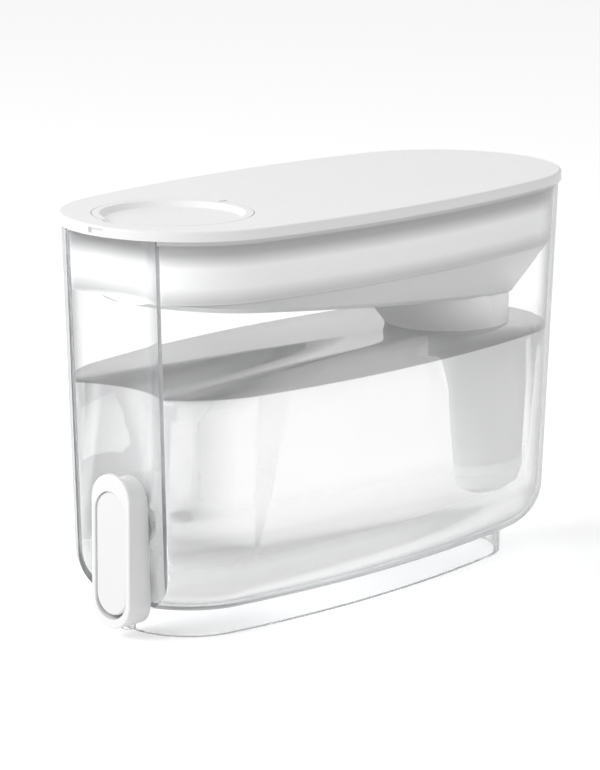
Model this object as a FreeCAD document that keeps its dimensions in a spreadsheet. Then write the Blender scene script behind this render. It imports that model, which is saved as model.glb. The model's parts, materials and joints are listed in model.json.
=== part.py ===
"""Countertop water filter dispenser: fluted oval tank, hopper with filter, lid and push tap.

Millimetres. +Z is up, the long axis lies along Y, the tap is at the -Y end and X = 0 is the
plane of symmetry. The origin is the middle of the base, on the surface it stands on.
"""
import FreeCAD, Part
import math
import os
import Sketcher

Vector = FreeCAD.Vector
Rotation = FreeCAD.Rotation
Placement = FreeCAD.Placement

# Driving sizes: name, value and what it sets. Lengths in mm, angles in degrees.
SIZES = [
    ("lid_length", 400, "overall length of the lid"),
    ("lid_width", 180, "overall width of the lid"),
    ("end_radius", 80, "radius of the lid's two ends"),
    ("overall_height", 260, "base to lid top"),
    ("draft", 2, "draft of the tank and hopper walls, degrees"),
    ("lid_rim", 6.5, "height of the lid's outer rim"),
    ("lid_overhang", 1.8, "how far the lid stands proud of the tank"),
    ("lid_plate", 2.4, "thickness of the lid's top plate"),
    ("lid_rim_width", 4, "width of the lid's outer rim"),
    ("lid_round", 1.6, "rounding of the lid's upper edge"),
    ("skirt_depth", 6, "reach of the lid's locating skirt below the rim"),
    ("skirt_wall", 1.6, "thickness of the locating skirt"),
    ("skirt_gap", 0.8, "locating skirt to hopper wall"),
    ("notch_width", 13, "width of the lift notch in the lid's front rim"),
    ("notch_height", 3.4, "height of that notch"),
    ("notch_depth", 2, "depth of that notch"),
    ("flap_centre", 134, "middle of the fill flap ahead of the origin"),
    ("flap_radius", 49.6, "radius of the fill flap"),
    ("flap_gap", 0.5, "flap to the lid round it"),
    ("flap_taper", 1.3, "how much smaller the flap is at its underside"),
    ("flap_depth", 5.1, "thickness of the flap's edge"),
    ("flap_floor", 1.6, "thickness of the flap's dished middle"),
    ("flap_edge", 4.6, "width of the flap's edge"),
    ("flap_slope", 3, "run of the slope down into the dish"),
    ("flap_ledge", 3.6, "width of the ledge that the flap rests on"),
    ("collar_wall", 2.5, "wall round the flap's recess"),
    ("scoop_radius", 30, "ball radius of the finger scoop"),
    ("scoop_depth", 3.8, "depth of the finger scoop"),
    ("scoop_centre", 174, "middle of the finger scoop ahead of the origin"),
    ("hinge_offset", 53, "flap hinge behind the flap's middle"),
    ("hinge_drop", 2.6, "flap hinge below the lid top"),
    ("knuckle_radius", 2.3, "radius of the flap's hinge knuckle"),
    ("knuckle_half", 8, "half width of the knuckle"),
    ("knuckle_room", 2.9, "hinge line to the back of the hinge slot, less the gap"),
    ("hinge_pin_radius", 1.25, "radius of the flap's hinge pin"),
    ("hinge_lug", 4.6, "width of each hinge lug of the lid"),
    ("running_gap", 0.08, "radial clearance of turning and sliding fits"),
    ("fixed_gap", 0.02, "radial clearance of pieces that are pressed together"),
    ("tank_wall", 3, "tank wall"),
    ("tank_floor", 4, "tank floor"),
    ("foot_height", 17, "height of the foot skirt"),
    ("foot_wall", 3.5, "thickness of the foot skirt"),
    ("foot_inset", 26.5, "foot skirt in from the tank's lower outline"),
    ("bottom_round", 32, "outer rounding of the tank's lower edge"),
    ("flute_half_width", 38, "half width of the hollow down the tank's front"),
    ("flute_radius", 68, "radius of that hollow"),
    ("step_depth", 3.2, "depth of the step in the tank's mouth"),
    ("step_lip", 1.4, "tank wall left outside the step"),
    ("seat_gap", 0.3, "side clearance of pieces that drop into a seat"),
    ("hopper_gap", 0.6, "hopper wall to tank wall"),
    ("hopper_wall", 2.2, "hopper wall"),
    ("band_bottom", 214, "height where the hopper wall turns in"),
    ("keel_height", 190, "height of the hopper's underside at Y = 0"),
    ("keel_slope", 6, "slope of the hopper's underside, degrees"),
    ("keel_front_radius", 60, "front radius of the underside's outline"),
    ("keel_front_centre", 118, "that arc's centre ahead of the origin"),
    ("keel_back_radius", 42, "back radius of the underside's outline"),
    ("keel_side_radius", 900, "side radius of the underside's outline"),
    ("keel_edge_width", 5.6, "width of the sloped edge round the underside"),
    ("keel_edge_rise", 3.2, "height of that edge"),
    ("filter_centre", 131, "filter axis behind the origin"),
    ("socket_radius", 39.5, "outer radius of the filter socket"),
    ("socket_bottom", 132, "lower end of the filter socket"),
    ("socket_lip", 1.4, "inward reach of the ledge at the socket's foot"),
    ("funnel_bottom", 150, "height where the funnel above the socket starts"),
    ("funnel_top", 186, "height where the funnel is lost in the underside"),
    ("funnel_radius", 45, "radius of the funnel's top"),
    ("funnel_lead", 31, "how far the funnel's top lies ahead of the filter axis"),
    ("filter_gap", 0.4, "filter to the socket round it"),
    ("filter_wall", 2, "wall of the filter's housings"),
    ("cap_bottom", 46, "lower end of the filter"),
    ("cap_top", 66, "joint of the filter's end cap"),
    ("cap_radius", 30.5, "radius of the filter at that joint"),
    ("cap_round", 14, "rounding of the filter's lower end"),
    ("inlet_inner", 4.7, "inner end of the end cap's slots"),
    ("cap_spigot", 3, "end cap's reach into the housing"),
    ("waist_height", 105, "height where the filter's taper eases"),
    ("waist_radius", 35, "radius of the filter there"),
    ("potting_thickness", 6, "thickness of the fibre bundle's potting"),
    ("fibre_radius", 26, "radius of the fibre bundle"),
    ("fibre_round", 8.7, "rounding at the top of the fibre bundle"),
    ("fibre_length", 52, "length of the fibre bundle"),
    ("stage_joint", 150, "joint between the two filter stages"),
    ("stage_spigot", 5, "reach of the upper stage into the lower"),
    ("stage_radius", 36, "radius of the carbon stage"),
    ("stage_top", 192, "top of the carbon stage"),
    ("screen_thickness", 0.6, "thickness of the filter screens"),
    ("grille_thickness", 6, "thickness of the carbon stage's cap"),
    ("grille_slots", 12, "number of slots in the cap and in the end cap"),
    ("grille_inner", 9, "inner end of the grille's slots"),
    ("slot_width", 3, "width of those slots"),
    ("handle_half", 24, "half width of the filter's handle"),
    ("handle_height", 17, "height of the handle above the cap"),
    ("handle_bar", 4, "thickness of the handle's bar"),
    ("handle_depth", 10, "depth of the handle, front to back"),
    ("seal_wire", 1.1, "half thickness of the filter's ring seals"),
    ("groove_half", 1.2, "half height of the ring seals' grooves"),
    ("seal_height", 142, "height of the ring seal in the socket"),
    ("tap_height", 69, "height of the tap's barrel"),
    ("tap_depth", 19.2, "tap front ahead of the tank wall"),
    ("tap_bite", 4.8, "how far the tap's blocks start inside the wall they are cut to"),
    ("tap_back", 6.1, "thickness of the tap body behind the button's pocket"),
    ("tap_half_width", 16.5, "half width of the tap"),
    ("tap_bottom", 7.5, "lower end of the tap"),
    ("tap_top", 105, "upper end of the tap"),
    ("shoulder_drop", 3.5, "tap body's top below the front plate's top"),
    ("bezel_thickness", 3, "thickness of the tap's front plate"),
    ("bezel_round", 1.2, "rounding of the front plate's edges"),
    ("button_half_width", 13, "half width of the push button"),
    ("button_foot", 8.5, "button's lower end above the tap's"),
    ("button_head", 11, "button's upper end below the tap's"),
    ("button_recess", 1, "button face behind the plate's face"),
    ("button_thickness", 4.5, "thickness of the button"),
    ("button_round", 1.4, "rounding of the button's face"),
    ("button_gap", 0.3, "button to the plate round it"),
    ("button_foot_gap", 2.5, "extra gap below the button"),
    ("pocket_gap", 1, "button to the sides of its pocket"),
    ("pocket_top_gap", 4, "button to the top of its pocket"),
    ("pin_drop", 6, "button's pin below the button's upper end"),
    ("pin_setback", 6.5, "button pin behind the button's face"),
    ("pin_radius", 1.5, "radius of the button's pin"),
    ("pin_knuckle", 3, "radius of the button's knuckle"),
    ("pin_knuckle_half", 8.5, "half width of that knuckle"),
    ("pin_half_length", 14.7, "half length of the button's pin"),
    ("barrel_radius", 9, "radius of the tap's barrel"),
    ("barrel_gap", 0.3, "barrel to the hole in the tank"),
    ("barrel_bore", 5, "bore of the barrel"),
    ("barrel_web", 1.2, "wall between the water way and the pocket"),
    ("duct_half_width", 5, "half width of the duct down to the spout"),
    ("duct_depth", 2.3, "depth of that duct"),
    ("gasket_radius", 13.5, "radius of the two tank gaskets"),
    ("gasket_recess", 1.85, "depth of the outer gasket's seat"),
    ("gasket_thickness", 2.2, "thickness of the inner gasket"),
    ("nut_thickness", 4, "thickness of the tap's nut"),
    ("nut_flats", 26, "nut size across its flats"),
    ("neck_radius", 7.35, "radius of the barrel's neck, which holds the cage"),
    ("neck_length", 3, "length of that neck"),
    ("neck_cover", 0.7, "part of the neck that lies inside the nut"),
    ("stem_radius", 2.4, "radius of the valve stem"),
    ("stem_bevel", 0.7, "bevel at the stem's tip"),
    ("stem_gap", 0.3, "button's pusher to the stem"),
    ("pusher_radius", 2.7, "radius of the button's pusher"),
    ("pusher_length", 2.7, "length of the pusher"),
    ("pusher_tip", 0.8, "length of the pusher's tapered tip"),
    ("seal_radius", 6.5, "radius of the valve seal"),
    ("valve_seal_thickness", 1.6, "thickness of the valve seal"),
    ("head_radius", 5.6, "radius of the valve's head"),
    ("head_thickness", 2, "thickness of the valve's head"),
    ("tail_radius", 2, "radius of the valve's tail"),
    ("tail_length", 7, "length of the valve's tail"),
    ("spring_length", 10, "length of the valve spring as fitted"),
    ("spring_radius", 4.2, "mean radius of the valve spring"),
    ("spring_wire", 0.4, "half thickness of the spring's wire"),
    ("spring_sides", 4, "flats round the spring's wire"),
    ("spring_turns", 4, "turns of the spring"),
    ("cage_wall", 1.4, "wall of the valve cage"),
    ("gland_offset", 0.1, "stem's seal to the barrel's front wall"),
    ("gland_radius", 4.6, "radius of the stem's seal"),
    ("gland_thickness", 1.2, "thickness of the stem's seal"),
    ("spout_radius", 5, "outer radius of the spout"),
    ("spout_bevel", 0.4, "narrowing of the spout's lip"),
    ("spout_bore", 3.4, "bore of the spout"),
    ("spout_length", 6.5, "length of the spout"),
    ("spout_drop", 2.5, "spout's end below the tap body"),
]


class Size:
    """A number that keeps the sheet formula it comes from."""

    def __init__(self, text, value):
        self.text = text
        self.value = value

    def joined(self, other, sign, value):
        return Size("(%s %s %s)" % (self.text, sign, as_size(other).text), value)

    def __add__(self, other):
        return self.joined(other, "+", self.value + as_size(other).value)

    def __sub__(self, other):
        return self.joined(other, "-", self.value - as_size(other).value)

    def __mul__(self, other):
        return self.joined(other, "*", self.value * as_size(other).value)

    def __truediv__(self, other):
        return self.joined(other, "/", self.value / as_size(other).value)

    def __radd__(self, other):
        return as_size(other) + self

    def __rsub__(self, other):
        return as_size(other) - self

    def __rmul__(self, other):
        return as_size(other) * self

    def __neg__(self):
        return Size("(-1 * %s)" % self.text, -self.value)


def as_size(value):
    """Give a plain number the same interface as a sheet size."""
    return value if isinstance(value, Size) else Size(repr(value), value)


def root(size):
    """Square root of a size."""
    return Size("sqrt(%s)" % size.text, math.sqrt(size.value))


def slope(size):
    """Tangent of an angle in degrees."""
    return Size("tan(%s * 1 deg)" % size.text, math.tan(math.radians(size.value)))


doc = FreeCAD.newDocument("dispenser")
sheet = doc.addObject("Spreadsheet::Sheet", "Sizes")


class Sizes:
    """The driving sizes by name, each bound to its cell."""


p = Sizes()
for row, (name, value, note) in enumerate(SIZES, start=1):
    sheet.set("A%d" % row, name)
    sheet.set("B%d" % row, str(value))
    sheet.setAlias("B%d" % row, name)
    sheet.set("C%d" % row, note)
    setattr(p, name, Size("Sizes." + name, float(value)))
doc.recompute()


def bind(item, path, size):
    """Tie one property of an object to the sheet."""
    item.setExpression(path, as_size(size).text)


def new_body(label):
    body = doc.addObject("PartDesign::Body", label)
    body.Label = label
    return body


def new_sketch(body, name, role, offset=0, tilt=None):
    """Add a sketch on one of the body's origin planes, moved along the plane's normal."""
    sketch = body.newObject("Sketcher::SketchObject", name)
    planes = {item.Role: item for item in body.Origin.OriginFeatures}
    sketch.AttachmentSupport = [(planes[role], "")]
    sketch.MapMode = "FlatFace"
    if tilt is not None:
        sketch.AttachmentOffset = Placement(Vector(), Rotation(Vector(-1, 0, 0), tilt.value))
        bind(sketch, "AttachmentOffset.Rotation.Angle", tilt)
    bind(sketch, "AttachmentOffset.Base.z", offset)
    return sketch


def constrain(sketch, kind, *refs, size=None):
    """Add a constraint, and tie its value to the sheet where it has one."""
    if size is None:
        sketch.addConstraint(Sketcher.Constraint(kind, *refs))
        return
    size = as_size(size)
    number = sketch.addConstraint(Sketcher.Constraint(kind, *refs, size.value))
    bind(sketch, "Constraints[%d]" % number, size)


def place_point(sketch, geometry, end, x, y):
    """Fix a point of the sketch at x, y. A plain 0 puts it on the axis."""
    for kind, axis, size in (("DistanceX", -2, x), ("DistanceY", -1, y)):
        if isinstance(size, Size):
            constrain(sketch, kind, -1, 1, geometry, end, size=size)
        else:
            constrain(sketch, "PointOnObject", geometry, end, axis)


def draw_polygon(sketch, points):
    """Draw a closed outline through points given as sizes."""
    corners = [Vector(as_size(x).value, as_size(y).value, 0) for x, y in points]
    first = sketch.GeometryCount
    count = len(points)
    for i in range(count):
        sketch.addGeometry(Part.LineSegment(corners[i], corners[(i + 1) % count]), False)
    for i in range(count):
        constrain(sketch, "Coincident", first + i, 2, first + (i + 1) % count, 1)
    for i, (x, y) in enumerate(points):
        place_point(sketch, first + i, 1, x, y)


def draw_circle(sketch, x, y, radius):
    centre = Vector(as_size(x).value, as_size(y).value, 0)
    circle = sketch.addGeometry(Part.Circle(centre, Vector(0, 0, 1), as_size(radius).value), False)
    constrain(sketch, "Radius", circle, size=radius)
    place_point(sketch, circle, 3, x, y)


def draw_pill(sketch, radius, low, high):
    """Draw an upright slot outline between two heights, centred on the sketch's vertical axis."""
    r = as_size(radius).value
    y0 = as_size(low).value + r
    y1 = as_size(high).value - r
    normal = Vector(0, 0, 1)
    first = sketch.GeometryCount
    sketch.addGeometry([
        Part.ArcOfCircle(Part.Circle(Vector(0, y1, 0), normal, r), 0, math.pi),
        Part.LineSegment(Vector(-r, y1, 0), Vector(-r, y0, 0)),
        Part.ArcOfCircle(Part.Circle(Vector(0, y0, 0), normal, r), math.pi, 2 * math.pi),
        Part.LineSegment(Vector(r, y0, 0), Vector(r, y1, 0)),
    ], False)
    for i in range(4):
        constrain(sketch, "Tangent", first + i, 2, first + (i + 1) % 4, 1)
    for arc, y in ((first, high - radius), (first + 2, low + radius)):
        place_point(sketch, arc, 3, 0, y)
        constrain(sketch, "Radius", arc, size=radius)


def draw_egg(sketch, front_centre, front_radius, back_centre, back_radius, side_radius):
    """Draw two end arcs on the Y axis, joined by two side arcs that touch them."""
    yf, rf = as_size(front_centre).value, as_size(front_radius).value
    yb, rb = as_size(back_centre).value, as_size(back_radius).value
    side = as_size(side_radius).value
    reach = (side - rf) ** 2 - (side - rb) ** 2
    cy = (reach + yb ** 2 - yf ** 2) / (2 * (yb - yf))
    cx = math.sqrt((side - rf) ** 2 - (cy - yf) ** 2)
    front_turn = math.atan2(yf - cy, cx)
    back_turn = math.atan2(yb - cy, cx)
    normal = Vector(0, 0, 1)
    first = sketch.GeometryCount
    half = math.pi
    sketch.addGeometry([
        Part.ArcOfCircle(Part.Circle(Vector(-cx, cy, 0), normal, side), front_turn, back_turn),
        Part.ArcOfCircle(Part.Circle(Vector(0, yb, 0), normal, rb), back_turn, half - back_turn),
        Part.ArcOfCircle(Part.Circle(Vector(cx, cy, 0), normal, side), half - back_turn, half - front_turn),
        Part.ArcOfCircle(Part.Circle(Vector(0, yf, 0), normal, rf), half - front_turn, 2 * half + front_turn),
    ], False)
    for i in range(4):
        constrain(sketch, "Tangent", first + i, 2, first + (i + 1) % 4, 1)
    place_point(sketch, first + 1, 3, 0, back_centre)
    place_point(sketch, first + 3, 3, 0, front_centre)
    constrain(sketch, "Radius", first + 1, size=back_radius)
    constrain(sketch, "Radius", first + 3, size=front_radius)
    constrain(sketch, "Radius", first, size=side_radius)
    constrain(sketch, "Radius", first + 2, size=side_radius)


# Sizes of the shared oval outline.
half_length = p.lid_length / 2
half_width = p.lid_width / 2
end_offset = half_length - p.end_radius
side_radius = (half_width * half_width + end_offset * end_offset - p.end_radius * p.end_radius) / (
    2 * (half_width - p.end_radius))
tank_top = p.overall_height - p.lid_rim
lean = slope(p.draft)


def draw_oval(sketch, inset):
    """Draw the lid's oval outline, moved in all round by an inset."""
    draw_egg(sketch, -end_offset, p.end_radius - inset, end_offset, p.end_radius - inset,
             side_radius - inset)


def wall_inset(depth, skin):
    """Inset of a drafted wall at a depth below the tank's mouth."""
    return p.lid_overhang + skin + lean * depth


def loft(body, sketches):
    """Join outlines with straight sides."""
    feature = body.newObject("PartDesign::AdditiveLoft", "Loft")
    feature.Profile = sketches[0]
    feature.Sections = sketches[1:]
    feature.Ruled = True
    doc.recompute()
    return feature


def pad(body, sketch, length, reverse=False):
    feature = body.newObject("PartDesign::Pad", "Pad")
    feature.Profile = sketch
    bind(feature, "Length", length)
    feature.Reversed = reverse
    doc.recompute()
    return feature


def edge_names(shape, test):
    """Names of the edges whose every vertex and middle passes a test."""
    names = []
    for number, edge in enumerate(shape.Edges, start=1):
        first, last = edge.ParameterRange
        points = [edge.valueAt(first + (last - first) * share) for share in (0, 0.5, 1)]
        if all(test(point) for point in points):
            names.append("Edge%d" % number)
    return names


def fillet(body, radius, test):
    """Round the edges of a body that pass a test."""
    base = body.Tip
    feature = body.newObject("PartDesign::Fillet", "Fillet")
    feature.Base = (base, edge_names(base.Shape, test))
    bind(feature, "Radius", radius)
    doc.recompute()
    return feature


def join(kind, label, base, tool):
    """Combine two objects: kind is Cut, Fuse or Common."""
    feature = doc.addObject("Part::" + kind, label)
    if kind == "MultiFuse":
        feature.Shapes = [base] + tool
    else:
        feature.Base = base
        feature.Tool = tool
    feature.Label = label
    doc.recompute()
    return feature


# The hollow down the front: a cylinder that leans with the draft.
flute_sagitta = p.flute_radius - root(
    p.flute_radius * p.flute_radius - p.flute_half_width * p.flute_half_width)
mouth_radius = p.end_radius - p.lid_overhang
flute_chord = end_offset + root(
    mouth_radius * mouth_radius - p.flute_half_width * p.flute_half_width)
flute_axis = flute_chord - flute_sagitta + p.flute_radius


def flute_cylinder(label, skin, over=40):
    """The cylinder that hollows the front, grown by a skin."""
    cylinder = doc.addObject("Part::Cylinder", label)
    bind(cylinder, "Radius", p.flute_radius + skin)
    bind(cylinder, "Height", p.overall_height + 2 * over)
    cylinder.Placement = Placement(Vector(), Rotation(Vector(1, 0, 0), p.draft.value))
    bind(cylinder, "Placement.Rotation.Angle", p.draft)
    bind(cylinder, "Placement.Base.y", lean * (tank_top + over) - flute_axis)
    bind(cylinder, "Placement.Base.z", as_size(-over))
    doc.recompute()
    return cylinder


def drafted_form(label, skin, top, bottom, rounding):
    """An oval solid with drafted walls and a rounded lower edge."""
    body = new_body(label)
    upper = new_sketch(body, label + "_upper", "XY_Plane", top)
    draw_oval(upper, wall_inset(tank_top - top, skin))
    lower = new_sketch(body, label + "_lower", "XY_Plane", bottom)
    draw_oval(lower, wall_inset(tank_top - bottom, skin))
    loft(body, [upper, lower])
    fillet(body, rounding, lambda point: abs(point.z - bottom.value) < 0.01)
    return body


def make_body(label, role, start, length, draw):
    """A body with one pad: draw fills the sketch, start and length lie along the plane's normal."""
    body = new_body(label)
    sketch = new_sketch(body, label + "_sketch", role, start)
    draw(sketch)
    pad(body, sketch, length)
    return body


def revolve(label, role, points, **base):
    """Turn a profile about its sketch's upright axis. base moves the body along x, y or z."""
    body = new_body(label)
    sketch = new_sketch(body, label + "_profile", role)
    draw_polygon(sketch, points)
    feature = body.newObject("PartDesign::Revolution", label + "_turn")
    feature.Profile = sketch
    feature.ReferenceAxis = (sketch, ["V_Axis"])
    feature.Angle = 360
    for axis, size in base.items():
        bind(body, "Placement.Base." + axis, size)
    doc.recompute()
    return body


def disc(label, radius, low, high, bore=0, role="XZ_Plane", **base):
    """A round disc or ring between two places along its axis."""
    points = [(bore, low), (radius, low), (radius, high), (bore, high)]
    return revolve(label, role, points, **base)


def box(label, x0, x1, y0, y1, z0, z1):
    """A box between two corners."""
    feature = doc.addObject("Part::Box", label)
    for name, low, high in (("x", x0, x1), ("y", y0, y1), ("z", z0, z1)):
        bind(feature, "Placement.Base." + name, low)
        bind(feature, {"x": "Length", "y": "Width", "z": "Height"}[name], high - low)
    doc.recompute()
    return feature


def pattern_slots(body, role, start, depth, draw, axis, count, angle=360):
    """Cut one slot and repeat it about an axis of the body."""
    sketch = new_sketch(body, body.Label + "_slot", role, start)
    draw(sketch)
    cut = body.newObject("PartDesign::Pocket", body.Label + "_cut")
    cut.Profile = sketch
    cut.Midplane = True
    bind(cut, "Length", depth)
    doc.recompute()
    ring = body.newObject("PartDesign::PolarPattern", body.Label + "_ring")
    ring.Originals = [cut]
    axes = {item.Role: item for item in body.Origin.OriginFeatures}
    ring.Axis = (axes[axis], [""])
    ring.Angle = angle
    if isinstance(count, Size):
        bind(ring, "Occurrences", count)
    else:
        ring.Occurrences = count
    body.Tip = ring
    doc.recompute()


nodes = {}


def keep(label, feature):
    """Name a finished piece."""
    feature.Label = label
    nodes[label] = feature
    return feature


# Shared places. "Ahead" is towards the tap, which is -Y.
wall_ahead = flute_axis - p.flute_radius - lean * (tank_top - p.tap_height)
tap_front = wall_ahead + p.tap_depth
plate_back = tap_front - p.bezel_thickness
pocket_floor = wall_ahead + p.tap_back
button_face = tap_front - p.button_recess
button_back = button_face - p.button_thickness
pin_ahead = button_face - p.pin_setback
hopper_skin = p.tank_wall + p.hopper_gap
hopper_inner_skin = hopper_skin + p.hopper_wall
step_floor = tank_top - p.step_depth
flap_seat = p.overall_height - p.flap_depth
recess_radius = p.flap_radius + p.flap_gap
over_cut = 2


def fluted(label, feature, skin):
    """Hollow the front of a form, to match the tank's front at a skin's depth."""
    return join("Cut", label, feature, flute_cylinder(label + "_flute", skin))


def drafted_ring(label, skin, inner_skin, low, high):
    """An upright wall that follows the tank's outline, between two skins."""
    solids = []
    for name, depth in ((label + "_outside", skin), (label + "_inside", inner_skin)):
        body = new_body(name)
        upper = new_sketch(body, name + "_upper", "XY_Plane", high)
        draw_oval(upper, wall_inset(tank_top - high, depth))
        lower = new_sketch(body, name + "_lower", "XY_Plane", low)
        draw_oval(lower, wall_inset(tank_top - low, depth))
        loft(body, [upper, lower])
        solids.append(fluted(name + "_fluted", body, depth))
    return join("Cut", label, solids[0], solids[1])


def make_tank():
    outer = drafted_form("tank_outer", 0, tank_top, p.foot_height, p.bottom_round)
    outer = fluted("tank_outer_fluted", outer, 0)
    floor = p.foot_height + p.tank_floor
    inner = drafted_form("tank_inner", p.tank_wall, tank_top, floor, p.bottom_round - p.tank_wall)
    inner = fluted("tank_inner_fluted", inner, p.tank_wall)
    shell = join("Cut", "tank_shell", outer, inner)
    step = drafted_ring("tank_step", p.step_lip, p.tank_wall + over_cut, step_floor, tank_top)
    shell = join("Cut", "tank_stepped", shell, step)
    foot_outline = wall_inset(tank_top - p.foot_height, p.foot_inset)
    foot = make_body("foot", "XY_Plane", 0, p.foot_height + p.tank_floor / 2,
                     lambda sketch: draw_oval(sketch, foot_outline))
    hollow = make_body("foot_hollow", "XY_Plane", 0, p.foot_height,
                       lambda sketch: draw_oval(sketch, foot_outline + p.foot_wall))
    foot = join("Cut", "foot_skirt", foot, hollow)
    shell = join("Fuse", "tank_on_foot", shell, foot)
    hole = disc("tap_hole", p.barrel_radius + p.barrel_gap, -wall_ahead - p.tap_depth,
                -wall_ahead + p.tap_depth, role="XY_Plane", z=p.tap_height)
    return keep("tank", join("Cut", "tank_drilled", shell, hole))


def hopper_form(label, skin, grow):
    """The hopper's band, keel, funnel and socket, solid. grow shrinks it to the inside form."""
    body = new_body(label)
    upper = new_sketch(body, label + "_upper", "XY_Plane", tank_top)
    draw_oval(upper, wall_inset(0, skin))
    turn = p.band_bottom + grow / 2
    middle = new_sketch(body, label + "_middle", "XY_Plane", turn)
    draw_oval(middle, wall_inset(tank_top - turn, skin))
    loft(body, [upper, middle])
    inset = as_size(grow)
    above = p.keel_edge_rise
    for part in ("_edge", "_lower"):
        lower = new_sketch(body, label + part, "XY_Plane", p.keel_height + grow + above,
                           p.keel_slope)
        draw_egg(lower, -p.keel_front_centre, p.keel_front_radius - inset, p.filter_centre,
                 p.keel_back_radius - inset, p.keel_side_radius - inset)
        loft(body, [middle, lower])
        middle = lower
        inset = inset + p.keel_edge_width
        above = above - p.keel_edge_rise
    return fluted(label + "_fluted", body, skin)


def funnel_form(label, grow, foot):
    """The funnel and socket below the keel, solid."""
    body = new_body(label)
    wide = new_sketch(body, label + "_wide", "XY_Plane", p.funnel_top + grow)
    draw_circle(wide, 0, p.filter_centre - p.funnel_lead, p.funnel_radius - grow)
    narrow = new_sketch(body, label + "_narrow", "XY_Plane", p.funnel_bottom - over_cut)
    draw_circle(narrow, 0, p.filter_centre, p.socket_radius - grow - over_cut)
    loft(body, [wide, narrow])
    top = p.funnel_top - p.hopper_wall + grow
    tube = make_body(label + "_tube", "XY_Plane", foot, top - foot,
                     lambda sketch: draw_circle(sketch, 0, p.filter_centre, p.socket_radius - grow))
    return join("Fuse", label + "_joined", body, tube)


def make_hopper():
    none = p.hopper_wall - p.hopper_wall
    outer = hopper_form("hopper_outer", hopper_skin, none)
    outer_funnel = funnel_form("funnel_outer", none, p.socket_bottom)
    inner = hopper_form("hopper_inner", hopper_inner_skin, p.hopper_wall)
    ledge = p.socket_bottom + p.hopper_wall
    inner_funnel = funnel_form("funnel_inner", p.hopper_wall, ledge)
    flange = drafted_ring("hopper_flange", p.step_lip + p.seat_gap, hopper_skin + over_cut / 2,
                          step_floor, tank_top)
    outer = join("Fuse", "hopper_funnelled", outer, outer_funnel)
    outer = join("Fuse", "hopper_body", outer, flange)
    inner = join("Fuse", "hopper_space", inner, inner_funnel)
    shell = join("Cut", "hopper_shell", outer, inner)
    mouth = disc("socket_mouth", p.socket_radius - p.hopper_wall - p.socket_lip,
                 p.socket_bottom - over_cut, ledge + over_cut, y=p.filter_centre)
    return keep("hopper", join("Cut", "hopper_open", shell, mouth))


def make_lid():
    block = make_body("lid_block", "XY_Plane", tank_top, p.lid_rim,
                      lambda sketch: draw_oval(sketch, 0))
    fillet(block, p.lid_round, lambda point: abs(point.z - p.overall_height.value) < 0.01)
    under = make_body("lid_under", "XY_Plane", tank_top, p.lid_rim - p.lid_plate,
                      lambda sketch: draw_oval(sketch, p.lid_rim_width))
    rib = join("Cut", "lid_rib", flute_cylinder("rib_outside", p.tank_wall),
               flute_cylinder("rib_inside", 0))
    low = tank_top - over_cut
    collar = disc("lid_collar", recess_radius + p.collar_wall, low, p.overall_height,
                  y=-p.flap_centre)
    hinge_ahead = p.flap_centre - p.hinge_offset
    slot_half = p.knuckle_half + p.flap_gap
    lug_half = slot_half + p.hinge_lug
    slot_back = p.flap_gap - hinge_ahead + p.knuckle_room
    hinge_box = box("lid_hinge_box", -lug_half, lug_half, -hinge_ahead - p.hinge_lug,
                    slot_back + p.collar_wall / 2, low, p.overall_height)
    for number, solid in enumerate((collar, hinge_box, rib)):
        under = join("Cut", "lid_hollow_%d" % number, under, solid)
    plate = join("Cut", "lid_shell", block, under)
    skirt_skin = hopper_inner_skin + p.skirt_gap
    skirt = drafted_ring("lid_skirt", skirt_skin, skirt_skin + p.skirt_wall,
                         tank_top - p.skirt_depth, p.overall_height - p.lid_plate / 2)
    body = join("Fuse", "lid_body", plate, skirt)
    recess = disc("lid_recess", recess_radius, flap_seat, p.overall_height + over_cut,
                  y=-p.flap_centre)
    opening = disc("lid_opening", recess_radius - p.flap_ledge, tank_top - p.lid_rim * 2,
                   p.overall_height, y=-p.flap_centre)
    opening = fluted("lid_opening_fluted", opening, skirt_skin + p.skirt_wall)
    hinge_slot = box("lid_hinge_slot", -slot_half, slot_half, -hinge_ahead - p.hinge_lug,
                     slot_back, flap_seat - p.flap_gap, p.overall_height + over_cut)
    bore = doc.addObject("Part::Cylinder", "lid_hinge_bore")
    bind(bore, "Radius", p.hinge_pin_radius + p.fixed_gap)
    bind(bore, "Height", lug_half * 2 + over_cut)
    bore.Placement = Placement(Vector(), Rotation(Vector(0, 1, 0), 90))
    bind(bore, "Placement.Base.x", -lug_half - over_cut / 2)
    bind(bore, "Placement.Base.y", -hinge_ahead)
    bind(bore, "Placement.Base.z", p.overall_height - p.hinge_drop)
    notch = box("lid_notch", -p.notch_width / 2, p.notch_width / 2, -half_length - over_cut,
                p.notch_depth - half_length, p.overall_height - p.lid_rim / 2 - p.notch_height / 2,
                p.overall_height - p.lid_rim / 2 + p.notch_height / 2)
    for number, cutter in enumerate((recess, opening, hinge_slot, bore, notch, scoop_ball("lid"))):
        body = join("Cut", "lid_cut_%d" % number, body, cutter)
    return keep("lid", body)


def scoop_ball(label):
    """The ball that presses the finger scoop into the lid and the flap."""
    ball = doc.addObject("Part::Sphere", label + "_scoop")
    bind(ball, "Radius", p.scoop_radius)
    bind(ball, "Placement.Base.y", -p.scoop_centre)
    bind(ball, "Placement.Base.z", p.overall_height + p.scoop_radius - p.scoop_depth)
    doc.recompute()
    return ball


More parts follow.
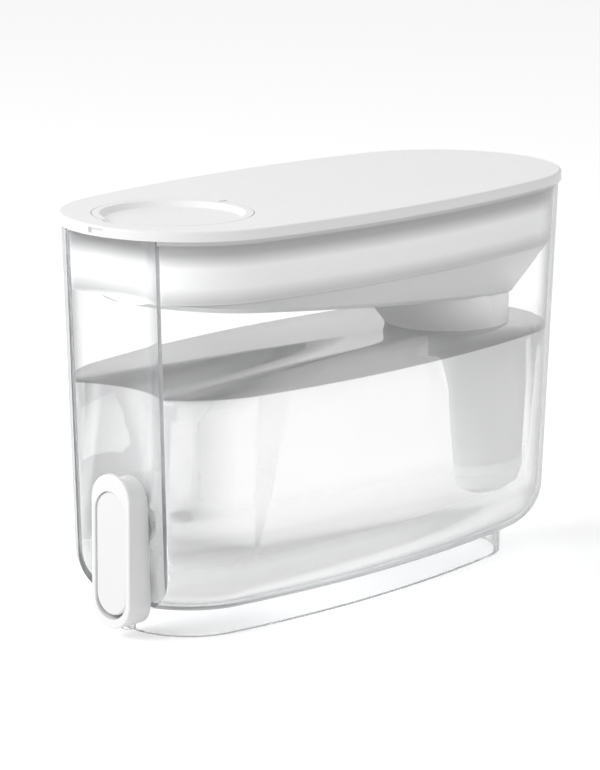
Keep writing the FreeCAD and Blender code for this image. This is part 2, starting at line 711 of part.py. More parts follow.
def make_flap():
    dish_edge = p.flap_radius - p.flap_edge
    floor = flap_seat + p.flap_floor
    points = [(0, flap_seat), (p.flap_radius - p.flap_taper, flap_seat),
              (p.flap_radius, p.overall_height),
              (dish_edge, p.overall_height), (dish_edge - p.flap_slope, floor), (0, floor)]
    cap = revolve("flap_cap", "XZ_Plane", points, y=-p.flap_centre)
    hinge_y = p.hinge_offset - p.flap_centre
    hinge_z = p.overall_height - p.hinge_drop
    web = box("flap_web", -p.knuckle_half, p.knuckle_half, hinge_y - p.flap_edge, hinge_y,
              hinge_z - p.knuckle_radius, hinge_z + p.knuckle_radius)
    knuckle = doc.addObject("Part::Cylinder", "flap_knuckle")
    bore = doc.addObject("Part::Cylinder", "flap_bore")
    for item, radius, extra in ((knuckle, p.knuckle_radius, 0),
                                (bore, p.hinge_pin_radius + p.running_gap, over_cut)):
        bind(item, "Radius", radius)
        bind(item, "Height", p.knuckle_half * 2 + extra)
        item.Placement = Placement(Vector(), Rotation(Vector(0, 1, 0), 90))
        bind(item, "Placement.Base.x", -p.knuckle_half - as_size(extra) / 2)
        bind(item, "Placement.Base.y", hinge_y)
        bind(item, "Placement.Base.z", hinge_z)
    flap = join("MultiFuse", "flap_body", cap, [web, knuckle])
    flap = join("Cut", "flap_bored", flap, bore)
    return keep("fill_flap", join("Cut", "flap_scooped", flap, scoop_ball("flap")))


def make_flap_pin():
    pin = doc.addObject("Part::Cylinder", "flap_pin")
    half = p.knuckle_half + p.flap_gap + p.hinge_lug
    bind(pin, "Radius", p.hinge_pin_radius)
    bind(pin, "Height", half * 2)
    pin.Placement = Placement(Vector(), Rotation(Vector(0, 1, 0), 90))
    bind(pin, "Placement.Base.x", -half)
    bind(pin, "Placement.Base.y", p.hinge_offset - p.flap_centre)
    bind(pin, "Placement.Base.z", p.overall_height - p.hinge_drop)
    doc.recompute()
    return keep("flap_pin", pin)


# The tap. Its barrel, stem and seals share an axis along Y at the tap's height.
button_top = p.tap_top - p.button_head
button_bottom = p.tap_bottom + p.button_foot
pin_height = button_top - p.pin_drop
barrel_end = -wall_ahead + p.tank_wall + p.gasket_thickness + p.nut_thickness + p.neck_length - p.neck_cover
neck_start = barrel_end - p.neck_length
seal_back = barrel_end + p.valve_seal_thickness
head_back = seal_back + p.head_thickness
duct_front = pocket_floor - p.barrel_web
spout_ahead = duct_front - p.duct_depth / 2


def along_barrel(label, points):
    """Turn a profile of (radius, y) points about the barrel's axis."""
    return revolve(label, "XY_Plane", points, z=p.tap_height)


def make_tap_housing():
    shoulder = p.tap_top - p.shoulder_drop
    shell = make_body("housing_block", "XZ_Plane", wall_ahead - p.tap_bite,
                      plate_back - wall_ahead + p.tap_bite,
                      lambda sketch: draw_pill(sketch, p.tap_half_width, p.tap_bottom, shoulder))
    shell = join("Common", "housing_fitted", shell, flute_cylinder("housing_back", -p.barrel_gap))
    gasket_seat = disc("gasket_seat", p.gasket_radius + p.seat_gap, -wall_ahead - p.gasket_recess,
                       -wall_ahead + p.tap_depth, role="XY_Plane", z=p.tap_height)
    shell = join("Cut", "housing_seated", shell, gasket_seat)
    barrel = along_barrel("barrel", [
        (0, -duct_front), (p.barrel_radius, -duct_front), (p.barrel_radius, neck_start),
        (p.neck_radius, neck_start), (p.neck_radius, barrel_end), (0, barrel_end)])
    shell = join("Fuse", "housing_barrel", shell, barrel)
    pocket = make_body("button_pocket", "XZ_Plane", pocket_floor, p.tap_depth,
                       lambda sketch: draw_pill(sketch, p.button_half_width + p.pocket_gap,
                                                button_bottom - p.button_foot_gap,
                                                button_top + p.pocket_top_gap))
    bore = along_barrel("barrel_bore", [
        (0, -duct_front), (p.barrel_bore, -duct_front), (p.barrel_bore, barrel_end + over_cut),
        (0, barrel_end + over_cut)])
    stem_hole = disc("stem_hole", p.stem_radius + p.running_gap, -pocket_floor - over_cut,
                     -duct_front + over_cut, role="XY_Plane", z=p.tap_height)
    spout_top = p.tap_bottom - p.spout_drop + p.spout_length
    duct = box("duct", -p.duct_half_width, p.duct_half_width, -duct_front,
               p.duct_depth - duct_front, spout_top - over_cut / 2, p.tap_height)
    spout_seat = disc("spout_seat", p.spout_radius + p.fixed_gap, p.tap_bottom - over_cut,
                      spout_top, y=-spout_ahead)
    pin_bore = button_pin_cylinder("pin_bore", p.pin_radius + p.fixed_gap,
                                   p.pin_half_length + p.running_gap)
    for number, cutter in enumerate((pocket, bore, stem_hole, duct, spout_seat, pin_bore)):
        shell = join("Cut", "housing_cut_%d" % number, shell, cutter)
    return keep("tap_housing", shell)


def button_pin_cylinder(label, radius, half):
    """A cylinder across the tap on the button's hinge line."""
    pin = doc.addObject("Part::Cylinder", label)
    bind(pin, "Radius", radius)
    bind(pin, "Height", half * 2)
    pin.Placement = Placement(Vector(), Rotation(Vector(0, 1, 0), 90))
    bind(pin, "Placement.Base.x", -half)
    bind(pin, "Placement.Base.y", -pin_ahead)
    bind(pin, "Placement.Base.z", pin_height)
    doc.recompute()
    return pin


def make_tap_bezel():
    plate = make_body("bezel_plate", "XZ_Plane", plate_back, p.bezel_thickness,
                      lambda sketch: draw_pill(sketch, p.tap_half_width, p.tap_bottom, p.tap_top))
    front = tap_front.value
    fillet(plate, p.bezel_round, lambda point: abs(point.y + front) < 0.01)
    window = make_body("bezel_window", "XZ_Plane", plate_back - over_cut,
                       p.bezel_thickness + 2 * over_cut,
                       lambda sketch: draw_pill(sketch, p.button_half_width + p.button_gap,
                                                button_bottom - p.button_foot_gap,
                                                button_top + p.button_gap))
    return keep("tap_bezel", join("Cut", "bezel_open", plate, window))


def make_push_button():
    face = make_body("button_face", "XZ_Plane", button_back, p.button_thickness,
                     lambda sketch: draw_pill(sketch, p.button_half_width, button_bottom,
                                              button_top))
    front = button_face.value
    fillet(face, p.button_round, lambda point: abs(point.y + front) < 0.01)
    knuckle = button_pin_cylinder("button_knuckle", p.pin_knuckle, p.pin_knuckle_half)
    tip = along_barrel("button_pusher", [
        (0, -button_back - over_cut / 2), (p.pusher_radius, -button_back - over_cut / 2),
        (p.pusher_radius, -button_back + p.pusher_length - p.pusher_tip),
        (p.pusher_radius / 2, -button_back + p.pusher_length),
        (0, -button_back + p.pusher_length)])
    button = join("MultiFuse", "button_body", face, [knuckle, tip])
    bore = button_pin_cylinder("button_bore", p.pin_radius + p.running_gap, p.tap_half_width)
    return keep("push_button", join("Cut", "button_bored", button, bore))


def make_button_pin():
    return keep("button_pin", button_pin_cylinder("pin", p.pin_radius, p.pin_half_length))


def make_valve():
    tip = p.pusher_length + p.stem_gap - button_back
    stem = along_barrel("stem_form", [
        (0, tip), (p.stem_radius - p.stem_bevel, tip), (p.stem_radius, tip + p.stem_bevel),
        (p.stem_radius, seal_back), (p.head_radius, seal_back), (p.head_radius, head_back),
        (p.tail_radius, head_back), (p.tail_radius, head_back + p.tail_length),
        (0, head_back + p.tail_length)])
    keep("valve_stem", stem)
    seal = disc("seal_form", p.seal_radius, barrel_end, seal_back, p.stem_radius + p.fixed_gap,
                "XY_Plane", z=p.tap_height)
    keep("valve_seal", seal)
    gland = disc("gland_form", p.gland_radius, p.gland_offset - duct_front,
                 p.gland_offset - duct_front + p.gland_thickness,
                 p.stem_radius + p.running_gap, "XY_Plane", z=p.tap_height)
    keep("stem_gland", gland)
    make_valve_spring()
    make_valve_cage()


def make_valve_cage():
    inside = p.neck_radius + p.running_gap
    outside = inside + p.cage_wall
    end = head_back + p.spring_length + p.running_gap
    cage = along_barrel("cage_form", [
        (inside, neck_start + p.running_gap), (outside, neck_start + p.running_gap),
        (outside, end + p.cage_wall), (p.tail_radius + p.seat_gap, end + p.cage_wall),
        (p.tail_radius + p.seat_gap, end), (inside, end)])
    low = seal_back
    high = end - p.cage_wall
    half = p.slot_width
    window = [(low, -half), (high, -half), (high, half), (low, half)]
    pattern_slots(cage, "YZ_Plane", 0, outside * 3, lambda sketch: draw_polygon(sketch, window),
                  "Y_Axis", 2, 90)
    keep("valve_cage", cage)


def tangent_arc(start, direction, end):
    """The arc from start, leaving along a direction, to end."""
    chord = end - start
    across = direction - chord * (direction.dot(chord) / chord.dot(chord))
    across.normalize()
    turn = direction.getAngle(chord)
    middle = start + chord / 2 + across * (chord.Length / 2 * math.tan(turn / 2))
    return Part.Arc(start, middle, end).toShape()


def coil_wire(radius, length, turns, steps=4):
    """A rising coil about Z as pairs of arcs, steps to a turn."""
    count = int(round(turns * steps))
    rise = length / (2 * math.pi * turns)
    points, directions = [], []
    for i in range(count + 1):
        angle = 2 * math.pi * i / steps
        points.append(Vector(radius * math.cos(angle), radius * math.sin(angle), rise * angle))
        heading = Vector(-radius * math.sin(angle), radius * math.cos(angle), rise)
        directions.append(heading.normalize())
    edges = []
    for i in range(count):
        gap = points[i + 1] - points[i]
        both = directions[i] + directions[i + 1]
        flat = 2 * (1 - directions[i].dot(directions[i + 1]))
        along = gap.dot(both)
        reach = (math.sqrt(along * along + flat * gap.dot(gap)) - along) / flat
        meet = (points[i] + points[i + 1] + (directions[i] - directions[i + 1]) * reach) / 2
        edges.append(tangent_arc(points[i], directions[i], meet))
        edges.append(tangent_arc(points[i + 1], -directions[i + 1], meet))
    return Part.Wire(Part.__sortEdges__(edges)), points[0], directions[0]


def make_valve_spring():
    """An open coil from the valve's head to the cage, turned about the barrel's axis."""
    wire = p.spring_wire.value
    length = p.spring_length.value - 2 * wire
    path, start, heading = coil_wire(p.spring_radius.value, length, p.spring_turns.value)
    side = Vector(1, 0, 0)
    up = heading.cross(side)
    sides = int(p.spring_sides.value)
    corners = []
    for i in range(sides + 1):
        angle = 2 * math.pi * i / sides
        corners.append(start + side * (wire * math.cos(angle)) + up * (wire * math.sin(angle)))
    coil = path.makePipeShell([Part.makePolygon(corners)], True, False)
    spring = doc.addObject("Part::Feature", "valve_spring")
    spring.Shape = coil
    spring.Placement = Placement(Vector(0, head_back.value + wire, p.tap_height.value),
                                 Rotation(Vector(1, 0, 0), -90))
    keep("valve_spring", spring)


def make_tap_fixings():
    gasket = disc("outer_ring", p.gasket_radius, -wall_ahead - p.gasket_recess + p.running_gap,
                  -wall_ahead + p.tap_bite, p.barrel_radius + p.running_gap, "XY_Plane",
                  z=p.tap_height)
    keep("outer_gasket", join("Common", "outer_fitted", gasket,
                              flute_cylinder("outer_gasket_face", -p.running_gap)))
    inner_face = p.gasket_thickness + p.tank_wall - wall_ahead
    gasket = disc("inner_ring", p.gasket_radius, -wall_ahead, inner_face,
                  p.barrel_radius + p.running_gap, "XY_Plane", z=p.tap_height)
    keep("inner_gasket", join("Cut", "inner_fitted", gasket,
                              flute_cylinder("inner_gasket_face", p.tank_wall + p.running_gap)))
    nut = new_body("nut")
    face = new_sketch(nut, "nut_outline", "XZ_Plane", -inner_face - p.nut_thickness)
    corner = p.nut_flats / 3 * root(as_size(3))
    half = p.nut_flats / 2
    high = p.tap_height
    draw_polygon(face, [(corner, high), (corner / 2, high + half), (-corner / 2, high + half),
                        (-corner, high), (-corner / 2, high - half), (corner / 2, high - half)])
    pad(nut, face, p.nut_thickness)
    hole = disc("nut_hole", p.barrel_radius + p.running_gap, inner_face - over_cut,
                inner_face + p.nut_thickness + over_cut, role="XY_Plane", z=p.tap_height)
    keep("tap_nut", join("Cut", "nut_bored", nut, hole))
    low = p.tap_bottom - p.spout_drop
    lip = p.spout_radius - p.spout_bevel
    spout = revolve("spout_form", "XZ_Plane", [
        (p.spout_bore, low), (lip, low), (p.spout_radius, low + p.spout_drop),
        (p.spout_radius, low + p.spout_length), (p.spout_bore, low + p.spout_length)],
        y=-spout_ahead)
    keep("spout", spout)


corner_share = 1 - math.sqrt(0.5)


def make_filter():
    axis = {"y": p.filter_centre}
    bore_radius = p.socket_radius - p.hopper_wall
    shoulder = p.socket_bottom + p.hopper_wall
    wide = bore_radius - p.filter_gap
    narrow = wide - p.socket_lip
    wall = p.filter_wall
    groove = p.groove_half
    depth = p.seal_wire * 2 - p.filter_gap + p.running_gap
    keep("filter_housing", revolve("housing_form", "XZ_Plane", [
        (p.cap_radius - wall, p.cap_top), (p.cap_radius, p.cap_top),
        (p.waist_radius, p.waist_height), (narrow, shoulder), (wide, shoulder),
        (wide, p.seal_height - groove), (wide - depth, p.seal_height - groove),
        (wide - depth, p.seal_height + groove), (wide, p.seal_height + groove),
        (wide, p.stage_joint), (stage_bore(), p.stage_joint),
        (stage_bore(), p.stage_joint - p.stage_spigot * 2),
        (p.waist_radius - wall, p.waist_height)], **axis))
    spigot = p.cap_radius - wall - p.running_gap * 2
    rise = p.cap_round * corner_share
    cap = revolve("cap_form", "XZ_Plane", [
        (0, p.cap_bottom), (p.cap_radius - p.cap_round, p.cap_bottom),
        (p.cap_radius - rise, p.cap_bottom + rise), (p.cap_radius, p.cap_bottom + p.cap_round),
        (p.cap_radius, p.cap_top), (spigot, p.cap_top), (spigot, p.cap_top + p.cap_spigot),
        (spigot - wall, p.cap_top + p.cap_spigot), (spigot - wall, p.cap_bottom + p.cap_round),
        (p.cap_radius - p.cap_round, p.cap_bottom + wall), (0, p.cap_bottom + wall)], **axis)
    half = p.slot_width / 2
    inner, outer = p.inlet_inner, p.cap_radius - p.cap_round
    pattern_slots(cap, "XY_Plane", p.cap_bottom, wall * 4, lambda sketch: draw_polygon(
        sketch, [(inner, -half), (outer, -half), (outer, half), (inner, half)]),
        "Z_Axis", p.grille_slots / 2)
    keep("filter_end_cap", cap)
    low = p.cap_top + p.cap_spigot
    high = low + p.potting_thickness
    keep("potting_disc", disc("potting_form", spigot - p.running_gap, low, high, **axis))
    top = high + p.fibre_length
    round_off = p.fibre_round
    keep("fibre_bundle", revolve("fibre_form", "XZ_Plane", [
        (0, high), (p.fibre_radius, high), (p.fibre_radius, top - round_off),
        (p.fibre_radius - round_off, top), (0, top)], **axis))
    make_carbon_stage(axis)
    keep("socket_seal", ring_seal("socket_seal_ring", bore_radius - p.running_gap - p.seal_wire,
                                  p.seal_height))
    keep("stage_seal", ring_seal("stage_seal_ring", stage_bore() - p.running_gap - p.seal_wire,
                                 p.stage_joint - p.stage_spigot / 2))


def stage_bore():
    """Bore in the lower housing that takes the upper stage."""
    return p.stage_radius - p.filter_wall + p.running_gap


def ring_seal(label, radius, height):
    """A rubber ring about the filter's axis, with a lozenge section."""
    wire = p.seal_wire
    points = [(radius + wire, height), (radius, height + wire), (radius - wire, height),
              (radius, height - wire)]
    return revolve(label, "XZ_Plane", points, y=p.filter_centre)


def make_carbon_stage(axis):
    wall = p.filter_wall
    inside = p.stage_radius - wall
    joint = p.stage_joint
    low = joint - p.stage_spigot
    spigot = stage_bore() - p.running_gap
    middle = joint - p.stage_spigot / 2
    groove = p.groove_half
    depth = p.seal_wire * 2 + p.running_gap
    cup = revolve("stage_form", "XZ_Plane", [
        (0, joint), (inside - 2 * wall, joint), (inside - 2 * wall, low), (spigot, low),
        (spigot, middle - groove), (spigot - depth, middle - groove),
        (spigot - depth, middle + groove), (spigot, middle + groove), (spigot, joint),
        (p.stage_radius, joint), (p.stage_radius, p.stage_top), (inside, p.stage_top),
        (inside, joint + wall), (0, joint + wall)], **axis)
    half = p.slot_width / 2
    inner, outer = p.grille_inner, inside - 3 * wall
    pattern_slots(cup, "XY_Plane", joint, wall * 4, lambda sketch: draw_polygon(
        sketch, [(inner, -half), (outer, -half), (outer, half), (inner, half)]),
        "Z_Axis", p.grille_slots)
    keep("carbon_housing", cup)
    fit = inside - p.running_gap
    floor = joint + wall
    thin = p.screen_thickness
    cap_floor = p.stage_top - wall
    keep("outlet_screen", disc("outlet_form", fit, floor, floor + thin, **axis))
    keep("carbon_media", disc("media_form", fit, floor + thin, cap_floor - thin, **axis))
    keep("inlet_screen", disc("inlet_form", fit, cap_floor - thin, cap_floor, **axis))
    top = p.stage_top + p.grille_thickness
    cap = revolve("grille_form", "XZ_Plane", [
        (0, p.stage_top), (fit - wall, p.stage_top), (fit - wall, cap_floor), (fit, cap_floor),
        (fit, p.stage_top), (p.stage_radius, p.stage_top), (p.stage_radius, top - wall),
        (p.stage_radius - wall, top), (0, top)], **axis)
    pattern_slots(cap, "XY_Plane", p.stage_top, p.grille_thickness * 3, lambda sketch: draw_polygon(
        sketch, [(inner, -half), (outer, -half), (outer, half), (inner, half)]),
        "Z_Axis", p.grille_slots)
    deep = p.handle_depth / 2
    middle = p.filter_centre
    arch = box("handle_block", -p.handle_half, p.handle_half, middle - deep, middle + deep,
               top - wall, top + p.handle_height)
    gap_half = p.handle_half - p.handle_bar
    gap = box("handle_gap", -gap_half, gap_half, middle - deep - over_cut,
              middle + deep + over_cut, top, top + p.handle_height - p.handle_bar)
    arch = join("Cut", "handle_arch", arch, gap)
    keep("carbon_cap", join("Fuse", "grille_handled", cap, arch))


def write_parts():
    """Check every object, then write each piece to its own file."""
    doc.recompute()
    for item in doc.Objects:
        if "Invalid" in item.State or "Error" in item.State:
            raise RuntimeError("%s failed: %s" % (item.Label, item.State))
    for label, feature in nodes.items():
        shape = feature.Shape
        if shape.isNull() or not shape.isValid() or not shape.Solids:
            raise RuntimeError(label + " has no sound solid")
    os.makedirs("parts", exist_ok=True)
    for label, feature in nodes.items():
        feature.Shape.exportStep("parts/%s.step" % label)
        print("%-16s %d solid, %9.1f mm3" % (label, len(feature.Shape.Solids), feature.Shape.Volume))


make_tank()
make_hopper()
make_lid()
make_flap()
make_flap_pin()
make_tap_housing()
make_tap_bezel()
make_push_button()
make_button_pin()
make_valve()
make_tap_fixings()
make_filter()
write_parts()
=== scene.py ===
"""Water filter dispenser: finishes, water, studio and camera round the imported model."""
import bmesh
import bpy
import json
import math
from mathutils import Matrix, Vector


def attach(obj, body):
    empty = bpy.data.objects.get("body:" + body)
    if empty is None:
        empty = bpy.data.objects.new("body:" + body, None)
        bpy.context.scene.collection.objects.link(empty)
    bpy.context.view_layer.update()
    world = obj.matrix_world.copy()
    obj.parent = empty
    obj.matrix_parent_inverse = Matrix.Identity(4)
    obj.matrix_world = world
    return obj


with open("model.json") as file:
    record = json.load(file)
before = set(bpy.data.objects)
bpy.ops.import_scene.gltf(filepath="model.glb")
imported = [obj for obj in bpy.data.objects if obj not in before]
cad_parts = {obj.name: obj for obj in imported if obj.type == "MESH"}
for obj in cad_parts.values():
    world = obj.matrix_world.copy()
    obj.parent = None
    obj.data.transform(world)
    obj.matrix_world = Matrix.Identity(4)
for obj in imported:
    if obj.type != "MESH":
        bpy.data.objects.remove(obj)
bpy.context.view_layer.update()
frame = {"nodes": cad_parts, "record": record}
nodes = frame["nodes"]

MM = 0.001
WATER_LEVEL = 156.3 * MM
WATER_GAP = 0.25 * MM           # water drawn just inside the tank's wall
PAINTED_REFLECTION_DEPTH = 1.2 * MM         # the water's surface is grey within this depth, a painted reflection
TAP_HEIGHT = 69 * MM            # middle of the tap's hole in the tank
TAP_HOLE = 9.6 * MM             # reach that takes in all of that hole's faces
FOOT_TOP = 15 * MM              # the tank's floor lies above this
HOPPER_SHADE_BANDS = 205 * MM         # the hopper's bands of painted shade run up from this height
HOPPER_SHADE_BANDS_SPAN = 50 * MM
FLOOR_DROP = 0.05 * MM          # the table's top lies this far under the tank's foot


def grey(shade):
    return (shade, shade, shade, 1)


class Signal:
    """A shader socket that takes part in sums."""

    def __init__(self, shading, socket):
        self.shading = shading
        self.socket = socket

    def maths(self, operation, a, b):
        return self.shading.node("Math", {"operation": operation}, {0: a, 1: b})

    def __add__(self, other):
        return self.maths("ADD", self, other)

    def __sub__(self, other):
        return self.maths("SUBTRACT", self, other)

    def __rsub__(self, other):
        return self.maths("SUBTRACT", other, self)

    def __mul__(self, other):
        return self.maths("MULTIPLY", self, other)

    __radd__ = __add__
    __rmul__ = __mul__


class Shading:
    """The nodes of a material or of the world, added one by one."""

    def __init__(self, owner, output):
        owner.use_nodes = True
        self.owner = owner
        self.tree = owner.node_tree
        self.tree.nodes.clear()
        self.output = self.tree.nodes.new("ShaderNode" + output)

    def node(self, kind, settings=None, sockets=None, out=0):
        """Add a node, set it up, feed its sockets and return one output."""
        item = self.tree.nodes.new("ShaderNode" + kind)
        for name, value in (settings or {}).items():
            if name == "stops":
                ramp = item.color_ramp
                while len(ramp.elements) < len(value):
                    ramp.elements.new(0.5)
                for element, (place, colour) in zip(ramp.elements, value):
                    element.position = place
                    element.color = colour
            else:
                setattr(item, name, value)
        for name, value in (sockets or {}).items():
            if isinstance(value, Signal):
                self.tree.links.new(value.socket, item.inputs[name])
            else:
                item.inputs[name].default_value = value
        return Signal(self, item.outputs[out])

    def mix(self, share, first, second):
        return self.node("MixShader", {}, {0: share, 1: first, 2: second})

    def larger(self, a, b):
        return self.node("Math", {"operation": "MAXIMUM"}, {0: a, 1: b})

    def seen(self):
        """One for rays that come from the camera, a gloss or a clear piece, else nothing."""
        camera, gloss, through = (self.node("LightPath", out=name) for name in (
            "Is Camera Ray", "Is Glossy Ray", "Is Transmission Ray"))
        return self.larger(camera, self.larger(gloss, through))

    def done(self, shader):
        self.tree.links.new(shader.socket, self.output.inputs["Surface"])
        return self.owner


class Finish(Shading):
    """One material."""

    def __init__(self, name):
        super().__init__(bpy.data.materials.new(name), "OutputMaterial")

    def surface(self, **sockets):
        """A Principled shader. Its sockets are named with _ for each space."""
        return self.node("BsdfPrincipled", {}, {
            name.replace("_", " "): value for name, value in sockets.items()})

    def place(self):
        """Object coordinates, in metres."""
        return self.node("TexCoord", out="Object")

    def noise(self, scale, detail=2, roughness=0.5):
        return self.node("TexNoise", {}, {"Vector": self.place(), "Scale": scale,
                                          "Detail": detail, "Roughness": roughness})

    def streaks(self, scale, detail):
        """Noise that is drawn out along the axis with the smallest scale."""
        stretched = self.node("Mapping", {}, {"Vector": self.place(), "Scale": scale})
        return self.node("TexNoise", {}, {"Vector": stretched, "Scale": 1.0, "Detail": detail})

    def bump(self, height, strength, distance):
        return self.node("Bump", {}, {"Height": height, "Strength": strength,
                                      "Distance": distance})

    def ramp(self, factor, *stops):
        colours = [(place, grey(shade) if isinstance(shade, (int, float)) else shade)
                   for place, shade in stops]
        return self.node("ValToRGB", {"stops": colours}, {0: factor})

    def rise(self, start, span):
        """Nothing at the start's height above the table, one at a span above that."""
        height = self.node("SeparateXYZ", {}, {0: self.place()}, out="Z")
        return (height - start) * (1 / span)

    def slant(self, *stops):
        """A ramp from a face that is seen square on to one that is seen edge on."""
        return self.ramp(self.node("LayerWeight", {}, {"Blend": 0.5}, out="Facing"), *stops)

    def let_lamps_through(self, shader, tint):
        """The shader, but clear to the rays that come from lamps, apart from a tint."""
        clear = self.node("BsdfTransparent", {}, {"Color": tint})
        return self.mix(self.node("LightPath", out="Is Shadow Ray"), shader, clear)


def clear_plastic():
    """Polished clear plastic: greyer where the wall is seen edge on and in the foot, both
    painted shade.
    """
    f = Finish("clear_plastic")
    # Painted shade: Base Color greys the plastic below about 17 mm, in the foot.
    body = f.surface(
        Base_Color=f.ramp(f.rise(0, 40 * MM), (0.40, 0.89), (0.46, 0.985)),
        Roughness=0.02, IOR=1.06, Transmission_Weight=1.0, Coat_Weight=0.6,
        Coat_Roughness=0.03, Normal=f.bump(f.noise(14, 1), 0.12, 0.6 * MM))
    # Painted shade: a grey surface mixed in where the wall is seen edge on.
    painted_edge_shade = f.surface(Base_Color=(0.36, 0.37, 0.38, 1), Roughness=0.2)
    wall = f.mix(f.slant((0.55, 0.0), (1.0, 0.88)), body, painted_edge_shade)
    return f.done(f.let_lamps_through(wall, (0.96, 0.965, 0.97, 1)))


def water():
    """Clear water with a grey surface that is a painted reflection, and a pale layer of
    painted light, most near the tank's floor and where it is seen edge on.
    """
    f = Finish("water")
    # Painted reflection: the water and its pale layer turn dark grey in the top millimetre.
    painted_reflection_mask = f.rise(WATER_LEVEL - PAINTED_REFLECTION_DEPTH, 1 * MM)
    body = f.surface(Base_Color=f.ramp(painted_reflection_mask, (0.2, 0.985), (0.6, 0.25)), Roughness=0.0,
                     IOR=1.333, Transmission_Weight=1.0)
    # Painted light: a pale diffuse layer mixed over the clear water, more where it is seen
    # edge on.
    painted_light_layer = f.surface(Base_Color=f.ramp(painted_reflection_mask, (0.2, 0.97), (0.6, 0.22)), Roughness=0.08)
    # Painted light: more of the pale layer near the tank's floor, below about 62 mm.
    painted_floor_light = f.ramp(f.rise(0, 62 * MM), (0.4, 0.5), (1.0, 0.0))
    share = f.slant((0.0, 0.14), (0.5, 0.22), (1.0, 0.6)) + painted_floor_light * 0.8
    return f.done(f.let_lamps_through(f.mix(share, body, painted_light_layer), (0.97, 0.975, 0.98, 1)))


def frosted_plastic():
    """Milky plastic that passes some light, with painted shade in bands along the hopper's
    lower and upper edge and where it is seen edge on.
    """
    f = Finish("frosted_plastic")
    # Painted shade: darker bands at about 215 mm, along the hopper's lower edge, and at 245 to
    # 249 mm, under the lid.
    painted_shade_bands = f.ramp(f.rise(HOPPER_SHADE_BANDS, HOPPER_SHADE_BANDS_SPAN), (0.14, 0.96), (0.20, 0.60),
                  (0.38, 0.93), (0.62, 0.96), (0.80, 0.46), (0.88, 0.44), (0.97, 0.88))
    body = f.surface(Base_Color=painted_shade_bands, Roughness=0.36, IOR=1.35, Transmission_Weight=0.25,
                     Normal=f.bump(f.noise(900, 3), 0.06, 0.1 * MM))
    # Painted shade: a grey surface mixed in where the wall is seen edge on.
    edge = f.surface(Base_Color=(0.36, 0.365, 0.37, 1), Roughness=0.3)
    wall = f.mix(f.slant((0.6, 0.0), (0.85, 0.16), (1.0, 0.7)), body, edge)
    return f.done(f.let_lamps_through(wall, (0.6, 0.61, 0.62, 1)))


def moulded_plastic(name, shade, rough):
    """Moulded plastic with a faint grain in its gloss, which dims the lamps behind it."""
    f = Finish(name)
    grain = f.noise(1400, 3)
    body = f.surface(
        Base_Color=f.ramp(f.noise(11), (0.3, shade - 0.006), (0.7, shade + 0.006)),
        Roughness=f.ramp(grain, (0.35, rough - 0.03), (0.65, rough + 0.03)),
        Normal=f.bump(grain, 0.05, 0.05 * MM))
    return f.done(f.let_lamps_through(body, grey(0.25)))


def rubber():
    f = Finish("seal_rubber")
    grain = f.noise(1200, 4)
    return f.done(f.surface(
        Base_Color=f.ramp(grain, (0.3, 0.50), (0.7, 0.58)), Roughness=0.65,
        Normal=f.bump(grain, 0.2, 0.1 * MM)))


def steel():
    f = Finish("steel")
    drawn = f.streaks((60, 2500, 2500), 3.0)
    return f.done(f.surface(
        Base_Color=f.ramp(drawn, (0.3, 0.60), (0.7, 0.68)), Metallic=1.0,
        Roughness=f.ramp(drawn, (0.3, 0.24), (0.7, 0.36))))


def fibre():
    """Fine hollow fibres that run up the bundle."""
    f = Finish("fibre")
    strand = f.streaks((1600, 1600, 40), 2.0)
    return f.done(f.surface(
        Base_Color=f.ramp(strand, (0.3, (0.74, 0.74, 0.71, 1)), (0.6, (0.88, 0.88, 0.85, 1))),
        Roughness=0.8, Normal=f.bump(strand, 0.5, 0.3 * MM)))


def carbon():
    """Black grains."""
    f = Finish("carbon")
    grain = f.node("TexVoronoi", {"feature": "F1"}, {"Vector": f.place(), "Scale": 900.0})
    return f.done(f.surface(
        Base_Color=f.ramp(grain, (0.1, 0.05), (0.6, 0.012)), Roughness=0.6,
        Normal=f.bump(grain, 0.9, 0.4 * MM)))


finishes = {
    "clear_plastic": clear_plastic(),
    "frosted_plastic": frosted_plastic(),
    "white_plastic": moulded_plastic("white_plastic", shade=0.90, rough=0.30),
    "button_plastic": moulded_plastic("button_plastic", shade=0.86, rough=0.36),
    "grey_plastic": moulded_plastic("grey_plastic", shade=0.22, rough=0.42),
    "seal_rubber": rubber(),
    "steel": steel(),
    "fibre": fibre(),
    "carbon": carbon(),
    "water": water(),
}


def dress(item, finish):
    """Give a whole piece one finish."""
    if item.material_slots:
        for place in item.material_slots:
            place.material = finish
    else:
        item.data.materials.append(finish)


for part in frame["record"]["subparts"]:
    dress(nodes[part["node"]], finishes[part["material_slot"]])


def add_item(name, data):
    item = bpy.data.objects.new(name, data)
    bpy.context.scene.collection.objects.link(item)
    return item


def add_mesh(name, bm):
    mesh = bpy.data.meshes.new(name)
    bm.to_mesh(mesh)
    bm.free()
    return add_item(name, mesh)


def joined_faces(start):
    """The faces that hang together with one face by their edges."""
    found, fresh = {start}, [start]
    while fresh:
        for side in fresh.pop().edges:
            for face in side.link_faces:
                if face not in found:
                    found.add(face)
                    fresh.append(face)
    return found


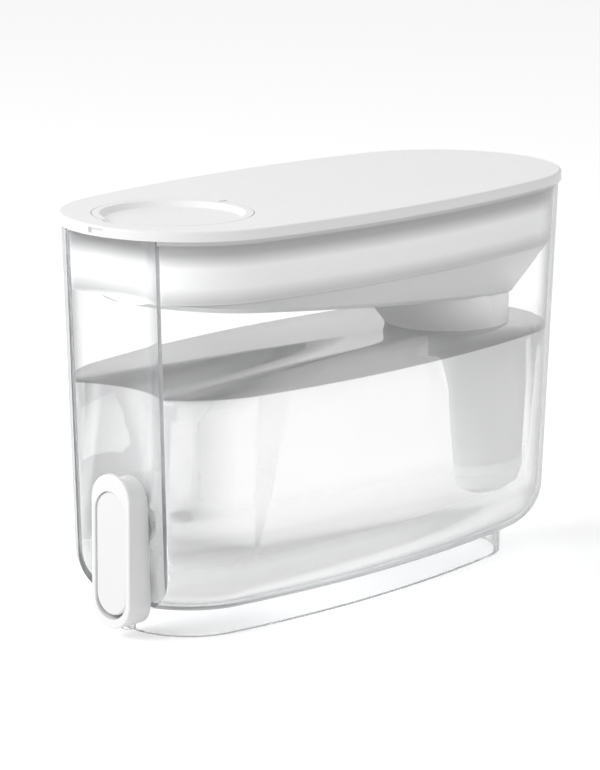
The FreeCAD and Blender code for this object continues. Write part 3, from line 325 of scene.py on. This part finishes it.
def make_water():
    """The inside of the tank below the water level, as one closed body."""
    bm = bmesh.new()
    bm.from_mesh(nodes["tank"].data)
    bmesh.ops.remove_doubles(bm, verts=bm.verts, dist=0.002 * MM)
    bmesh.ops.bisect_plane(bm, geom=bm.verts[:] + bm.edges[:] + bm.faces[:],
                           plane_co=(0, 0, WATER_LEVEL), plane_no=(0, 0, 1), clear_outer=True)
    tap_hole = [face for face in bm.faces
                if all(math.hypot(v.co.x, v.co.z - TAP_HEIGHT) < TAP_HOLE and v.co.y < 0
                       for v in face.verts)]
    bmesh.ops.delete(bm, geom=tap_hole, context="FACES")
    tank_floor = max((face for face in bm.faces if abs(face.normal.z) > 0.999
                      and face.calc_center_median().z > FOOT_TOP),
                     key=lambda face: face.calc_center_median().z)
    inside = joined_faces(tank_floor)
    bmesh.ops.delete(bm, geom=[face for face in bm.faces if face not in inside],
                     context="FACES")
    bmesh.ops.holes_fill(bm, edges=[side for side in bm.edges if side.is_boundary])
    bmesh.ops.recalc_face_normals(bm, faces=bm.faces)
    bm.normal_update()
    moves = [(v, v.normal * v.calc_shell_factor()) for v in bm.verts]
    for v, way in moves:
        v.co -= way * WATER_GAP
    item = add_mesh("water", bm)
    dress(item, finishes["water"])
    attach(item, "tank")


def make_world():
    """White to the camera and in reflections, softer as light."""
    world = bpy.data.worlds.new("studio")
    bpy.context.scene.world = world
    sky = Shading(world, "OutputWorld")
    light = sky.node("Background", {}, {"Strength": 0.66})
    backdrop = sky.node("Background", {}, {"Color": grey(1), "Strength": 1.0})
    sky.done(sky.mix(sky.seen(), light, backdrop))


def make_floor():
    """A chalk-white table that looks as white as the backdrop where no shadow falls."""
    bm = bmesh.new()
    bmesh.ops.create_grid(bm, x_segments=1, y_segments=1, size=6)
    bmesh.ops.translate(bm, verts=bm.verts, vec=(0, 0, -FLOOR_DROP))
    item = add_mesh("floor", bm)
    f = Finish("floor")
    chalk = f.node("BsdfDiffuse", {}, {"Color": grey(0.9)})
    veil = f.node("BsdfDiffuse", {}, {"Color": grey(0.92)})
    lift = f.node("Emission", {}, {"Color": grey(1), "Strength": 0.41})
    lit_veil = f.node("AddShader", {}, {0: veil, 1: lift})
    item.data.materials.append(f.done(f.mix(f.seen(), chalk, lit_veil)))


def make_lamp(name, place, aim, size, power):
    data = bpy.data.lights.new(name, "AREA")
    data.shape = "RECTANGLE"
    data.size = data.size_y = size
    data.energy = power
    item = add_item(name, data)
    item.location = place
    item.rotation_mode = "QUATERNION"
    item.rotation_quaternion = (Vector(aim) - Vector(place)).to_track_quat("-Z", "Y")


def make_camera():
    """The photograph's view: direction, distance, roll and lens from a fit to its outlines."""
    azimuth, elevation, roll = (math.radians(angle) for angle in (42.196, 12.253, 0.298))
    distance = 2271.8 * MM
    target = Vector((-3.02, -14.14, 132.75)) * MM
    back = Vector((math.sin(azimuth) * math.cos(elevation),
                   -math.cos(azimuth) * math.cos(elevation), math.sin(elevation)))
    across = Vector((math.cos(azimuth), math.sin(azimuth), 0))
    up = back.cross(across)
    x = across * math.cos(roll) + up * math.sin(roll)
    y = up * math.cos(roll) - across * math.sin(roll)
    data = bpy.data.cameras.new("camera")
    data.lens = 165.12
    data.sensor_width = 36
    data.sensor_fit = "AUTO"
    data.clip_start, data.clip_end = 0.05, 50
    item = add_item("camera", data)
    turn = Matrix((x, y, back)).transposed().to_4x4()
    item.matrix_world = Matrix.Translation(target + back * distance) @ turn
    bpy.context.scene.camera = item


make_water()
make_world()
make_floor()
make_lamp("key", place=(-0.9, -2.0, 1.7), aim=(0, 0, 0.15), size=1.6, power=40)
make_lamp("fill", place=(2.2, -0.6, 1.3), aim=(0, 0, 0.12), size=1.5, power=5)
make_camera()
bpy.context.scene.view_settings.view_transform = "Standard"
